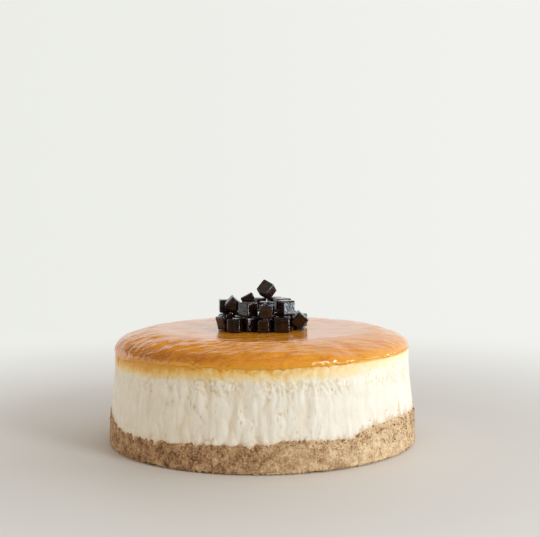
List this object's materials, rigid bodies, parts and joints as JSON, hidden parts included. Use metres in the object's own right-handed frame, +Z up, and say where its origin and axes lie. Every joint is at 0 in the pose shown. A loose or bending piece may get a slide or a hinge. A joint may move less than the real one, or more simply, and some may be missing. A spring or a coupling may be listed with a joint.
{
  "type": "baked cheesecake",
  "caption": "Whole round baked cheesecake: pressed crumb base, pale set filling, browned glossy top and a heap of dark glossy jelly cubes in the middle of the top.",
  "frame": {"origin": "on the flat underside, on the cake's axis", "axes": "+Z up, the front as served faces -Y, +X to the cake's right as seen from the front"},
  "size_m": [0.1527, 0.1529, 0.0794],
  "materials": {
    "baked_crumb": "rough pressed biscuit crumb",
    "set_cream": "set baked cream, browned and glazed on top",
    "dark_jelly": "glossy dark jelly"
  },
  "bodies": {
    "root": {"crumb_base": "baked_crumb", "filling": "set_cream", "jelly_cube_01": "dark_jelly", "jelly_cube_02": "dark_jelly", "jelly_cube_03": "dark_jelly", "jelly_cube_04": "dark_jelly", "jelly_cube_05": "dark_jelly", "jelly_cube_06": "dark_jelly", "jelly_cube_07": "dark_jelly", "jelly_cube_08": "dark_jelly", "jelly_cube_09": "dark_jelly", "jelly_cube_10": "dark_jelly", "jelly_cube_11": "dark_jelly", "jelly_cube_12": "dark_jelly", "jelly_cube_13": "dark_jelly", "jelly_cube_14": "dark_jelly", "jelly_cube_15": "dark_jelly", "jelly_cube_16": "dark_jelly", "jelly_cube_17": "dark_jelly", "jelly_cube_18": "dark_jelly", "jelly_cube_19": "dark_jelly", "jelly_cube_20": "dark_jelly", "jelly_cube_21": "dark_jelly", "jelly_cube_22": "dark_jelly", "jelly_cube_23": "dark_jelly", "jelly_cube_24": "dark_jelly", "jelly_cube_25": "dark_jelly", "jelly_cube_26": "dark_jelly", "jelly_cube_27": "dark_jelly", "jelly_cube_28": "dark_jelly", "jelly_cube_29": "dark_jelly"}
  },
  "joints": []
}
